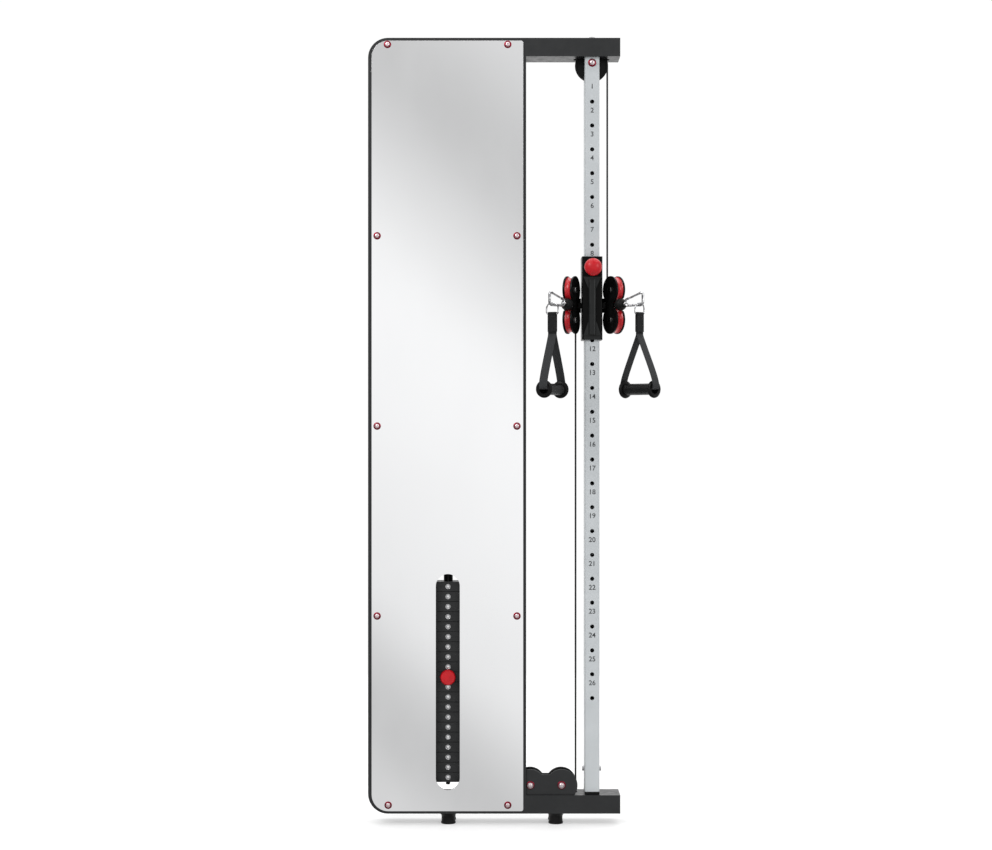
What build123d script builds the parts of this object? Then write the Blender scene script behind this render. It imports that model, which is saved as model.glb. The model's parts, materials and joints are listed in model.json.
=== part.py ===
from build123d import *
import os
from math import acos, atan2, cos, hypot, pi, radians, sin

# Functional trainer: a mirrored weight tower with two arms that carry a drilled column.
# Millimetres. X runs left to right, -Y is the front, +Z is up, and the floor is Z 0.
# The machine is laid out from its own tower: X 0 is the tower's left edge and Y 0 the middle
# of the frame tube. SHIFT then moves every part so that the origin is the floor point under
# the middle of the whole object.
SHIFT = Vector(-401, 63, 0)

# Frame tube
TUBE_W = 50
TUBE_D = 100
WALL = 3
FLOOR_GAP = 30
HEIGHT = 2140
TOWER_W = 430
ARM_END = 686
CORNER_R = 54

# Weight stack
STACK_X = 217
CABLE_Y = 8
PLATE_COUNT = 20
PLATE_PITCH = 27.4
PLATE_T = 26.3
PLATE_W = 310
PLATE_FRONT, PLATE_BACK = -26, 42
STACK_BASE = 112
ROD_SPREAD = 95
ROD_R = 10
ROD_TOP = 1972
PIN_PLATE = 10
STEM_R = 12.5
LIFT_Z = 765

# Mirror
MIRROR_T = 5
MIRROR_X = (10, 422)
MIRROR_Z = (37.6, 2131.5)
SLOT_W = 65
SLOT_Z = (95, 682)
SCREWS = [(53, 2121), (380, 2121), (55, 54), (380, 54)] + [
    (x, z) for x in (25, 405) for z in (1601, 1084, 568)
]

# Column
COLUMN_X = 610
COLUMN_W = 40
COLUMN_D = 80
HOLE_COUNT = 26
HOLE_PITCH = 65
HOLE_R = 5.75
FIRST_HOLE_Z = 1968
END_BLOCK = 8

# Cable and fixed pulleys: centre X, centre Z and the radius of the cable's centre line
CABLE_R = 2.5
WHEEL_T = 18.4
TOP_PULLEY = (COLUMN_X, 2074, 43.5)
TOWER_LEFT = (STACK_X, 2076, 41.5)
TOWER_MIDDLE = (STACK_X + 70.5, 2048, 29)
TOWER_RIGHT = (STACK_X + 155.5, 2048, 29)
BASE_INNER = (TOWER_RIGHT[0] + 69, 106, 40)
BASE_OUTER = (526.5, 106, 40)
COVER_R = 43.5
REAR_COVER_R = 33
AXLE_R = 6
AXLE_FIT = 0.05

# Carriage: the locking pin sits at the eighth hole
PIN_Z = FIRST_HOLE_Z - 7 * HOLE_PITCH
SLEEVE_W = 56
SLEEVE_D = 92
SLEEVE_TOP = PIN_Z + 33
SLEEVE_H = 227
MID_Z = PIN_Z - 98.5
SWIVEL_X = 43.5
PIVOT_R = 4

# Swivel wheels, measured from the swivel's vertical axis
WHEEL_OUT = 35.5
WHEEL_RISE = 41
WHEEL_R = 36.5
GROOVE_R = 32.9
DISC_R = 38
DISC_T = 3.5
BALL_OUT = 70.5
BALL_R = 17
EYE_OUT = 96.5

# Headings in degrees about +Z, from +X: the swivel arms, the carabiners and the grips
HEADING = {"left": -111, "right": -62}
CLIP_HEADING = {"left": -140, "right": -30}
GRIP_HEADING = {"left": -115, "right": -49}
SIDE = {"left": -1, "right": 1}

# Handles
CLIP_R = 3.7
RING_OUT = 42
ARM_RISE = -4.3
RING_R = 2
GRIP_DROP = 227
GRIP_HALF = 54
STRAP_W = 25
STRAP_T = 2.5


def block(x0, x1, y0, y1, z0, z1):
    """A box between two corners."""
    return Pos((x0 + x1) / 2, (y0 + y1) / 2, (z0 + z1) / 2) * Box(x1 - x0, y1 - y0, z1 - z0)


def rod(start, direction, radius, length):
    """A round bar from a point along a direction."""
    return extrude(Plane(origin=start, z_dir=direction) * Circle(radius), length)


def rod_y(x, y0, y1, z, radius):
    """A round bar along Y."""
    return rod((x, y0, z), (0, 1, 0), radius, y1 - y0)


def rod_z(x, y, z0, z1, radius):
    """A round bar along Z."""
    return rod((x, y, z0), (0, 0, 1), radius, z1 - z0)


def hollow(x0, x1, z0, z1, open_x=False, open_z=False):
    """A rectangular frame tube with its ends open along X or Z."""
    half = TUBE_D / 2
    outer = block(x0, x1, -half, half, z0, z1)
    dx = -1 if open_x else WALL
    dz = -1 if open_z else WALL
    return outer - block(x0 + dx, x1 - dx, WALL - half, half - WALL, z0 + dz, z1 - dz)


def group(shapes):
    """Separate solids kept in one node."""
    return Compound(children=[solid for shape in shapes for solid in shape.solids()])


def save(name, shape):
    """Write one node, moved into the object's own frame."""
    solids = [Location(SHIFT) * solid for solid in shape.solids()]
    export_step(solids[0] if len(solids) == 1 else Compound(children=solids), f"parts/{name}.step")


def screw_cutter():
    """The mirror screws' holes through the frame's front wall."""
    return [rod_y(x, -51, -44, z, 3.1) for x, z in SCREWS]


def frame():
    half_slot = 9.6
    top_z = HEIGHT - TUBE_W
    floor_top = FLOOR_GAP + TUBE_W
    slot_y = (CABLE_Y - half_slot, CABLE_Y + half_slot)
    column_slot = (CABLE_Y - 12, CABLE_Y + 12)

    top_beam = hollow(CORNER_R, ARM_END, top_z, HEIGHT, open_x=True)
    top_beam -= block(STACK_X - 46, STACK_X + 46, *slot_y, top_z - 1, top_z + 4)
    top_beam -= block(COLUMN_X - 49, COLUMN_X + 49, *column_slot, top_z - 1, top_z + 4)
    top_beam -= rod_z(COLUMN_X, -24, top_z - 1, HEIGHT + 1, 5.1)
    bottom_beam = hollow(CORNER_R, ARM_END, FLOOR_GAP, floor_top, open_x=True)
    bottom_beam -= block(398, 571, *slot_y, floor_top - 4, floor_top + 1)
    bottom_beam -= rod_z(COLUMN_X, 0, FLOOR_GAP - 1, floor_top + 1, 5.1)
    for x in (STACK_X - ROD_SPREAD, STACK_X + ROD_SPREAD):
        bottom_beam -= rod_z(x, CABLE_Y, FLOOR_GAP - 1, floor_top + 1, 5.1)

    right_post = hollow(TOWER_W - TUBE_W, TOWER_W, floor_top, top_z, open_z=True)
    right_post -= block(TOWER_W - 4, TOWER_W + 1, *slot_y, floor_top - 1, 152)
    right_post -= block(TOWER_W - TUBE_W - 1, TOWER_W - TUBE_W + 4, *slot_y, 1996, top_z + 1)
    left_post = hollow(0, TUBE_W, FLOOR_GAP + CORNER_R, HEIGHT - CORNER_R, open_z=True)

    upper = corner(HEIGHT - CORNER_R, 90)
    lower = corner(FLOOR_GAP + CORNER_R, 180)
    cutters = screw_cutter()
    save("top_beam", top_beam - cutters)
    save("bottom_beam", bottom_beam - cutters)
    save("left_post", left_post - cutters)
    save("right_post", right_post - cutters)
    save("corner_bends", group([upper - cutters, lower - cutters]))


def corner(centre_z, start):
    """A quarter bend of the frame tube, at the tower's left side."""
    centre = Pos(CORNER_R, 0, centre_z) * Rot(90, 0, 0)
    inner_r = CORNER_R - TUBE_W
    half = TUBE_D / 2

    def quarter(outer_r, hole_r, depth):
        disc = Cylinder(outer_r, 2 * depth) - Cylinder(hole_r, 2 * depth)
        side = 2 * outer_r
        keep = Pos(-side / 2, (1 if start == 90 else -1) * side / 2, 0) * Box(side, side, 4 * depth)
        return centre * (disc & keep)

    return quarter(CORNER_R, inner_r, half) - quarter(
        CORNER_R - WALL, inner_r + WALL, half - WALL
    )


def mirror():
    x0, x1 = MIRROR_X
    z0, z1 = MIRROR_Z
    panel = block(x0, x1, -50 - MIRROR_T, -50, z0, z1)
    left_edges = panel.edges().filter_by(Axis.Y).group_by(Axis.X)[0]
    panel = fillet(left_edges, 45)
    right_edges = panel.edges().filter_by(Axis.Y).group_by(Axis.X)[-1]
    panel = fillet(right_edges, 6)
    slot = Plane.XZ * Pos(STACK_X, sum(SLOT_Z) / 2) * SlotOverall(
        SLOT_Z[1] - SLOT_Z[0], SLOT_W, rotation=90
    )
    panel -= extrude(slot, 70, both=True)
    panel -= [rod_y(x, -56, -49, z, 3.1) for x, z in SCREWS]
    save("mirror_panel", panel)
    screws = []
    for x, z in SCREWS:
        shank = rod_y(x, -56.5, -44, z, 3)
        head = rod_y(x, -60, -56.5, z, 6)
        screws.append(shank + fillet(head.edges().group_by(Axis.Y)[0], 2))
    save("mirror_screws", group(screws))


def red_washers():
    rings = [(x, -56.5, z, 10.2, 1.5, 3.1) for x, z in SCREWS]
    rings.append((TOP_PULLEY[0], -41.5, TOP_PULLEY[1], 9.5, 1.5, 5.1))
    rings += [(p[0], -45.5, p[1], 9.5, 1.5, 6.1) for p in (BASE_INNER, BASE_OUTER)]
    save("red_washers", group(
        rod_y(x, y, y + t, z, r) - rod_y(x, y - 1, y + t + 1, z, hole)
        for x, y, z, r, t, hole in rings
    ))


def guides():
    xs = (STACK_X - ROD_SPREAD, STACK_X + ROD_SPREAD)
    base = FLOOR_GAP + TUBE_W
    save("guide_rods", group(
        rod_z(x, CABLE_Y, base, ROD_TOP, ROD_R) - rod_z(x, CABLE_Y, base - 1, base + 20, 5.1)
        for x in xs
    ))
    bar = block(TUBE_W, TOWER_W - TUBE_W, -12, 28, ROD_TOP - 12, ROD_TOP)
    bar -= [rod_z(x, CABLE_Y, ROD_TOP - 13, ROD_TOP + 1, ROD_R + 0.1) for x in xs]
    bar -= [rod_z(STACK_X + s * 41.5, CABLE_Y, ROD_TOP - 13, ROD_TOP + 1, 9) for s in (-1, 1)]
    save("rod_crossbar", bar)
    save("stack_cushions", group(
        rod_z(x, CABLE_Y, base, STACK_BASE, 22) - rod_z(x, CABLE_Y, base - 1, STACK_BASE + 1, 10.2)
        for x in xs
    ))


def plate(number):
    """One weight plate; number 1 is the top one."""
    z = STACK_BASE + (PLATE_COUNT - number) * PLATE_PITCH
    half = PLATE_W / 2
    solid = block(STACK_X - half, STACK_X + half, PLATE_FRONT, PLATE_BACK, z, z + PLATE_T)
    solid = chamfer(solid.edges().filter_by(Axis.Z), 5)
    for x in (STACK_X - ROD_SPREAD, STACK_X + ROD_SPREAD):
        solid -= rod_z(x, CABLE_Y, z - 1, z + PLATE_T + 1, ROD_R + 0.6)
    solid -= rod_z(STACK_X, CABLE_Y, z - 1, z + PLATE_T + 1, STEM_R + 0.5)
    return solid - rod_y(STACK_X, PLATE_FRONT - 1, CABLE_Y, z + PLATE_T / 2, 6)


def pin_height(number):
    return STACK_BASE + (PLATE_COUNT - number) * PLATE_PITCH + PLATE_T / 2


def stack():
    save("resting_plates", group(plate(n) for n in range(PIN_PLATE + 1, PLATE_COUNT + 1)))
    save("lifted_plates", group(plate(n) for n in range(1, PIN_PLATE + 1)))
    stem = rod_z(STACK_X, CABLE_Y, STACK_BASE, 700, STEM_R)
    stem += rod_z(STACK_X, CABLE_Y, STACK_BASE - 4, STACK_BASE, 9.5)
    for n in range(1, PLATE_COUNT + 1):
        stem -= rod_y(STACK_X, -10, 14, pin_height(n), 6)
    save("selector_rod", stem)
    hub = rod_z(STACK_X, CABLE_Y, 700, 714, 17)
    cheeks = [
        block(STACK_X - 17, STACK_X + 17, CABLE_Y + a, CABLE_Y + b, 700, LIFT_Z + 24)
        for a, b in ((-14, -10), (10, 14))
    ]
    fork = hub + cheeks
    fork -= rod_y(STACK_X, -20, 40, LIFT_Z, AXLE_R + 0.1)
    axle = rod_y(STACK_X, CABLE_Y - 14, CABLE_Y + 14, LIFT_Z, AXLE_R)
    heads = [
        rod_y(STACK_X, CABLE_Y + y, CABLE_Y + y + 4, LIFT_Z, 9) for y in (-18, 14)
    ]
    save("lift_fork", group([fork, axle + heads]))
    pin = rod_y(STACK_X, -38, 11, pin_height(PIN_PLATE), 5)
    knob = rod_y(STACK_X, -46, -28, pin_height(PIN_PLATE), 21)
    knob = fillet(knob.edges().group_by(Axis.Y)[0], 5)
    knob = fillet(knob.edges().group_by(Axis.Y)[-1], 3)
    save("selector_knob", knob - rod_y(STACK_X, -38, -20, pin_height(PIN_PLATE), 5))
    save("selector_pin", pin)


def wheel_profile(outer, groove, width):
    """Half section of a grooved wheel, as radius and distance along its axle."""
    half = width / 2
    rim = 2
    bore = AXLE_R + AXLE_FIT
    return make_face(Polyline(
        (bore, -half), (outer, -half), (outer, rim - half), (groove, rim - half + 2.2),
        (groove, half - rim - 2.2), (outer, half - rim), (outer, half), (bore, half), close=True
    ))


def wheel(centre, axis, outer, groove, width=WHEEL_T):
    """A grooved wheel about an axis through its centre."""
    turned = revolve(Plane.XZ * wheel_profile(outer, groove, width), Axis.Z)
    return Plane(origin=centre, z_dir=axis) * turned


def fixed_pulley(name, pulley, extra):
    x, z, r = pulley
    save(name, wheel((x, CABLE_Y, z), (0, 1, 0), r + extra, r - CABLE_R))


def pulleys():
    fixed_pulley("top_pulley", TOP_PULLEY, 1.5)
    fixed_pulley("tower_pulley_left", TOWER_LEFT, 1.5)
    fixed_pulley("tower_pulley_middle", TOWER_MIDDLE, 1.5)
    fixed_pulley("tower_pulley_right", TOWER_RIGHT, 1.5)
    fixed_pulley("base_pulley_inner", BASE_INNER, 1.5)
    fixed_pulley("base_pulley_outer", BASE_OUTER, 1.5)
    fixed_pulley("lift_pulley", (STACK_X, LIFT_Z, 41.5), 1.5)

    hanger_z = HEIGHT - TUBE_W
    plates = []
    for a, b in ((-13.6, -9.8), (9.8, 13.6)):
        cheek = block(190, 379.9, CABLE_Y + a, CABLE_Y + b, 2018, hanger_z)
        for x, z, _ in (TOWER_LEFT, TOWER_MIDDLE, TOWER_RIGHT):
            cheek -= rod_y(x, -20, 40, z, AXLE_R + 0.1)
        plates.append(cheek)
    save("pulley_hangers", group(plates))

    front = base_cover(-44, COVER_R, 135)
    save("base_pulley_plates", group([front, base_cover(40, REAR_COVER_R, 126)]))


def base_cover(y, radius, saddle):
    """A cheek plate with two humps that holds the base pulleys' axles."""
    cover = block(BASE_INNER[0], BASE_OUTER[0], y, y + 4, 80, saddle)
    for x, z, _ in (BASE_INNER, BASE_OUTER):
        cover += rod_y(x, y, y + 4, z, radius)
    cover &= block(TOWER_W + 0.5, 600, y - 5, y + 9, FLOOR_GAP + TUBE_W, 200)
    for x, z, _ in (BASE_INNER, BASE_OUTER):
        cover -= rod_y(x, y - 5, y + 9, z, AXLE_R + 0.1)
    return cover


def column():
    z0 = FLOOR_GAP + TUBE_W
    z1 = HEIGHT - TUBE_W
    half_w, half_d = COLUMN_W / 2, COLUMN_D / 2
    x0, x1 = COLUMN_X - half_w, COLUMN_X + half_w
    tube = block(x0, x1, -half_d, half_d, z0 + END_BLOCK, z1)
    tube = fillet(tube.edges().filter_by(Axis.Z), 4)
    tube -= block(x0 + WALL, x1 - WALL, WALL - half_d, half_d - WALL, z0, z1 + 1)
    for n in range(HOLE_COUNT):
        tube -= rod_y(COLUMN_X, -half_d - 1, -half_d + 5, FIRST_HOLE_Z - n * HOLE_PITCH, HOLE_R)
    pulley_space = block(x0 - 1, x1 + 1, CABLE_Y - 12, CABLE_Y + 12, TOP_PULLEY[1] - 49, z1 + 1)
    tube -= pulley_space
    tube -= rod_y(TOP_PULLEY[0], -50, 50, TOP_PULLEY[1], 5.1)
    tube -= rod((x0 - 1, 0, 146), (1, 0, 0), 5.1, COLUMN_W + 2)
    save("column_tube", tube)
    inset = WALL + 0.1
    top = block(x0 + inset, x1 - inset, inset - half_d, half_d - inset, z1 - END_BLOCK, z1)
    top -= pulley_space
    top -= rod_z(COLUMN_X, -24, z1 - END_BLOCK - 1, z1 + 1, 5.1)
    top -= rod_y(TOP_PULLEY[0], -50, 50, TOP_PULLEY[1], 5.1)
    bottom = block(x0, x1, -half_d, half_d, z0, z0 + END_BLOCK)
    bottom -= rod_z(COLUMN_X, 0, z0 - 1, z0 + END_BLOCK + 1, 5.1)
    caps = [
        block(ARM_END - 15, ARM_END, -46.9, 46.9, z + WALL + 0.1, z + TUBE_W - WALL - 0.1)
        for z in (FLOOR_GAP, HEIGHT - TUBE_W)
    ]
    save("end_blocks", group([top, bottom] + caps))


def frame_bolts():
    """Hexagon-headed bolts and pulley axles that stay with the frame."""
    base = FLOOR_GAP + TUBE_W
    bolts = []
    for x in (STACK_X - ROD_SPREAD, STACK_X + ROD_SPREAD):
        bolts.append(rod_z(x, CABLE_Y, FLOOR_GAP, base + 18, 5) + hex_head(x, CABLE_Y, 23, 7))
    bolts.append(rod_z(COLUMN_X, 0, FLOOR_GAP, base + 14, 5) + hex_head(COLUMN_X, 0, 24, 6))
    bolts.append(
        rod_z(COLUMN_X, -24, HEIGHT - TUBE_W - 8, HEIGHT, 5) + hex_head(COLUMN_X, -24, HEIGHT, 6)
    )
    stop = rod((COLUMN_X - 24, 0, 146), (1, 0, 0), 5, 48)
    stop += [rod((COLUMN_X + x, 0, 146), (1, 0, 0), 7, 5) for x in (-26, 21)]
    bolts.append(stop)
    x, z, _ = TOP_PULLEY
    axle = rod_y(x, -45, 45, z, 5) + rod_y(x, CABLE_Y - 10.5, CABLE_Y + 10.5, z, AXLE_R)
    bolts.append(axle + rod_y(x, -45.5, -41.5, z, 7) + rod_y(x, 40, 46, z, 8))
    for x, z, _ in (BASE_INNER, BASE_OUTER):
        axle = rod_y(x, -45.5, 46, z, AXLE_R)
        bolts.append(axle + rod_y(x, -49.5, -45.5, z, 8) + rod_y(x, 44, 49, z, 9))
    for x, z, _ in (TOWER_LEFT, TOWER_MIDDLE, TOWER_RIGHT):
        axle = rod_y(x, CABLE_Y - 14, CABLE_Y + 14, z, AXLE_R)
        ends = [rod_y(x, CABLE_Y + y, CABLE_Y + y + 4, z, 7.4) for y in (-17.6, 13.6)]
        bolts.append(axle + ends)
    save("frame_bolts", group(bolts))


def hex_head(x, y, z, height):
    return extrude(Plane.XY.offset(z) * Pos(x, y) * RegularPolygon(8.5, 6), height)


def supports():
    feet = []
    profile = make_face(Polyline(
        (0, 0), (22.5, 0), (22.5, 4), (18, 9), (18, 22), (23, 30), (0, 30), close=True
    ))
    for x in (218, 511):
        for y in (-26, 26):
            feet.append(Pos(x, y, 0) * revolve(Plane.XZ * profile, Axis.Z))
    save("levelling_feet", group(feet))
    bars = []
    for z in (210, 1930):
        bar = block(20, 410, 50, 55, z - 30, z + 30)
        bar -= [rod_y(STACK_X + s * 120, 49, 56, z, 5.5) for s in (-1, 1)]
        bars.append(bar)
    save("wall_brackets", group(bars))


def cable(points, radii):
    """A round cable along straight runs joined by tangent arcs."""
    path = FilletPolyline(*points, radius=radii) if radii else Line(*points)
    start = path @ 0
    tube = sweep(Plane(origin=start, z_dir=path % 0) * Circle(CABLE_R), path)
    expected = pi * CABLE_R**2 * path.length
    print(f"cable {path.length:.0f} mm, volume ratio {tube.volume / expected:.4f}, radii {radii}")
    return tube


def cables():
    stub = 4
    ctop_x, ctop_z, ctop_r = TOP_PULLEY
    left_x, left_z, left_r = TOWER_LEFT
    mid_x, _, mid_r = TOWER_MIDDLE
    post_x = TOWER_RIGHT[0] + TOWER_RIGHT[2]
    run_top = TOWER_RIGHT[1] + mid_r
    run_low = BASE_INNER[1] - BASE_INNER[2]
    run_arm = ctop_z + ctop_r
    right_x = COLUMN_X + SWIVEL_X
    left_run_x = BASE_OUTER[0] + BASE_OUTER[2]
    y = CABLE_Y
    over_top = [
        (right_x, y, ctop_z - stub), (right_x, y, run_arm),
        (left_x - left_r, y, run_arm), (left_x - left_r, y, left_z - stub - 28),
    ]
    save("cable_over_top", cable(over_top, [ctop_r, left_r]))
    through = [
        (mid_x - mid_r, y, left_z - stub - 28), (mid_x - mid_r, y, run_top), (post_x, y, run_top),
        (post_x, y, run_low), (left_run_x, y, run_low), (left_run_x, y, BASE_OUTER[1] + stub),
    ]
    save("cable_through_post", cable(through, [mid_r, mid_r, BASE_INNER[2], BASE_OUTER[2]]))
    runs = [
        rod_z(STACK_X + s * 41.5, y, LIFT_Z + stub, left_z - stub - 28, CABLE_R) for s in (-1, 1)
    ]
    save("cable_stack_runs", group(runs))
    loop = [
        (STACK_X - 41.5, y, LIFT_Z + stub), (STACK_X - 41.5, y, LIFT_Z - 41.5),
        (STACK_X + 41.5, y, LIFT_Z - 41.5), (STACK_X + 41.5, y, LIFT_Z + stub),
    ]
    save("cable_lift_loop", cable(loop, [41.4, 41.4]))
    save("cable_column_right", rod_z(right_x, y, MID_Z + WHEEL_RISE + stub, ctop_z - stub, CABLE_R))
    save("cable_column_left", rod_z(
        COLUMN_X - SWIVEL_X, y, BASE_OUTER[1] + stub, MID_Z - WHEEL_RISE - stub, CABLE_R
    ))


def carriage():
    half_w, half_d = SLEEVE_W / 2, SLEEVE_D / 2
    top, bottom = SLEEVE_TOP, SLEEVE_TOP - SLEEVE_H
    x = COLUMN_X
    sleeve = block(x - half_w, x + half_w, -half_d, half_d, bottom, top)
    sleeve = fillet(sleeve.edges().filter_by(Axis.Z), 5)
    rib = block(x - 11, x + 11, -half_d - 8, 1 - half_d, bottom + 14, PIN_Z - 30)
    rib = fillet(rib.edges().filter_by(Axis.Z).group_by(Axis.Y)[0], 7)
    sleeve += rib
    for z0, z1, narrow_first in ((MID_Z + 45, MID_Z + 76, True), (MID_Z - 84, MID_Z - 46, False)):
        flare = make_face(Polyline(
            (x - 11, z0 if narrow_first else z1), (x + 11, z0 if narrow_first else z1),
            (x + 24, z1 if narrow_first else z0), (x - 24, z1 if narrow_first else z0), close=True
        ))
        sleeve += extrude(Plane.XZ.offset(half_d - 1) * flare, 5)
    sleeve -= block(x - 20.5, x + 20.5, -40.5, 40.5, bottom - 1, top + 1)
    for s in (-1, 1):
        ear_x = x + s * SWIVEL_X
        inner = x + s * (half_w - 1)
        ear = block(min(inner, ear_x), max(inner, ear_x), CABLE_Y - 6.5, CABLE_Y + 6.5, MID_Z - 8, MID_Z + 8)
        ear += rod_z(ear_x, CABLE_Y, MID_Z - 8, MID_Z + 8, 6.5)
        ear -= rod_z(ear_x, CABLE_Y, MID_Z - 9, MID_Z + 9, PIVOT_R + 0.08)
        sleeve += ear
    boss = rod_y(x, -62, 1 - half_d, PIN_Z, 13)
    sleeve += boss
    sleeve -= rod_y(x, -63, -39, PIN_Z, 5.6)
    save("carriage_sleeve", sleeve)
    bolts = []
    for s in (-1, 1):
        bolt = rod_z(x + s * SWIVEL_X, CABLE_Y, MID_Z - 16.5, MID_Z + 16.5, PIVOT_R)
        bolt += rod_z(x + s * SWIVEL_X, CABLE_Y, MID_Z + 14.2, MID_Z + 17, 6)
        bolt += rod_z(x + s * SWIVEL_X, CABLE_Y, MID_Z - 17, MID_Z - 14.2, 6)
        bolts.append(bolt)
    save("swivel_bolts", group(bolts))


def plunger():
    profile = make_face(Polyline(
        (0, 0), (5, 0), (5, 23), (9, 23), (9, 50), (13, 55), (23.7, 60), (23.7, 68),
        (18, 76), (9, 81), (0, 82), close=True
    ))
    turned = revolve(Plane.XZ * profile, Axis.Z)
    save("plunger_knob", Plane(origin=(COLUMN_X, -40.4, PIN_Z), z_dir=(0, -1, 0)) * turned)


def side_plane(side, heading):
    """A plane at a swivel's axis: X along the heading, Y up, normal to the right."""
    turn = radians(heading)
    direction = Vector(cos(turn), sin(turn), 0)
    origin = (COLUMN_X + SIDE[side] * SWIVEL_X, CABLE_Y, MID_Z)
    return Plane(origin=origin, x_dir=direction, z_dir=direction.cross(Vector(0, 0, 1)))


def swivel(side):
    plane = side_plane(side, HEADING[side])
    face = Pos(WHEEL_OUT, WHEEL_RISE) * Circle(DISC_R)
    face += Pos(WHEEL_OUT, -WHEEL_RISE) * Circle(DISC_R)
    face += Pos(27, 0) * Rectangle(46, 44)
    for s in (-1, 1):
        face += Pos(5, s * 14) * Rectangle(24, 11.4)
    face -= Pos(0, 0) * Rectangle(30, 16.6)
    face -= Pos(BALL_OUT, 0) * Circle(BALL_R + 1.5)
    for s in (-1, 1):
        face -= Pos(WHEEL_OUT, s * WHEEL_RISE) * Circle(AXLE_R + 0.1)
    gap = WHEEL_T / 2 + 0.3
    plates = [
        plane * extrude(Pos(0, 0, gap) * face, DISC_T),
        plane * extrude(Pos(0, 0, -gap) * face, -DISC_T),
    ]
    bracket = plates[0] + plates[1]
    for s in (-1, 1):
        ear = Pos(0, s * 11.15, 0) * Box(14, 5.7, 2 * gap + 1)
        ear -= Rot(90, 0, 0) * Cylinder(PIVOT_R + 0.08, 60)
        bracket += plane * ear
    axles = []
    for s in (-1, 1):
        axle = Cylinder(AXLE_R, 2 * (gap + DISC_T))
        heads = [Pos(0, 0, t * (gap + DISC_T + 1.5)) * Cylinder(8, 3) for t in (-1, 1)]
        axles.append(plane * (Pos(WHEEL_OUT, s * WHEEL_RISE, 0) * (axle + heads)))
    save(f"swivel_{side}", group([bracket] + axles))
    for s, level in ((1, "upper"), (-1, "lower")):
        centre = plane.from_local_coords((WHEEL_OUT, s * WHEEL_RISE, 0))
        save(f"wheel_{level}_{side}", wheel(centre, plane.z_dir, WHEEL_R, GROOVE_R))
    save(f"cable_lead_{side}", lead(side, plane))


def lead(side, plane):
    """The cable from the swivel's axis, round the wheel that carries it and out to the ball."""
    s = SIDE[side]
    rise = s * WHEEL_RISE
    out = BALL_OUT - WHEEL_OUT
    dip = atan2(WHEEL_RISE, out) + acos(WHEEL_OUT / hypot(out, WHEEL_RISE)) - radians(90)
    leave_u = WHEEL_OUT - WHEEL_OUT * sin(dip)
    leave_v = rise - s * WHEEL_OUT * cos(dip)
    fall = s * sin(dip) / cos(dip)
    far = BALL_OUT - (BALL_R + 0.05) * cos(dip)
    points = [(0, rise + s * 4), (0, leave_v + leave_u * fall), (far, leave_v - (far - leave_u) * fall)]
    path = [plane.from_local_coords((u, v, 0)) for u, v in points]
    return cable(path, [WHEEL_OUT])


def cable_end(side):
    plane = side_plane(side, HEADING[side])
    ball = Pos(BALL_OUT, 0, 0) * Sphere(BALL_R)
    ball += Pos(BALL_OUT + 8, 0, 0) * Rot(0, 90, 0) * Cone(14, 7, 12)
    eye = Pos(EYE_OUT, 2, 0) * Rot(90, 0, 0) * Torus(6.2, 1.8)
    neck = Pos(EYE_OUT - 8.2, 1, 0) * Rot(0, 90, 0) * Cylinder(3, 7)
    save(f"cable_end_{side}", group([plane * (ball - neck), plane * (eye + neck)]))


def clip_plane(side):
    """The carabiner's plane at the cable eye: X along the carabiner, Y up."""
    eye = side_plane(side, HEADING[side]).from_local_coords((EYE_OUT, 0, 0))
    turn = radians(CLIP_HEADING[side])
    direction = Vector(cos(turn), sin(turn), 0)
    return Plane(origin=eye, x_dir=direction, z_dir=direction.cross(Vector(0, 0, 1)))


def carabiner(side):
    plane = clip_plane(side)
    narrow, wide, length, slope = 11, 31.5, 52, 0.394
    low = ARM_RISE
    hinge = (9, narrow + slope * 9)
    nose = (41, narrow + slope * 41)
    points = [nose, (length, wide), (length, low), (0, low), (0, narrow), hinge]
    wire = FilletPolyline(*[(u, v, 0) for u, v in points], radius=[5, 9, 6, 4.5])
    body = sweep(Plane(origin=wire @ 0, z_dir=wire % 0) * Circle(CLIP_R), wire)
    save(f"carabiner_{side}", plane * body)
    along = Vector(nose[0] - hinge[0], nose[1] - hinge[1], 0).normalized()
    start = Vector(hinge[0], hinge[1], 0) + along * 3.6
    span = hypot(nose[0] - hinge[0], nose[1] - hinge[1]) - 4
    gate = rod(start, along, 3, span) + Pos(*start) * Sphere(3)
    save(f"carabiner_gate_{side}", plane * gate)


def handle_plane(side):
    """The handle's plane at the carabiner's lower arm: X along the grip, Y up."""
    origin = clip_plane(side).from_local_coords((RING_OUT, ARM_RISE, 0))
    turn = radians(GRIP_HEADING[side])
    direction = Vector(cos(turn), sin(turn), 0)
    return Plane(origin=origin, x_dir=direction, z_dir=direction.cross(Vector(0, 0, 1)))


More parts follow.
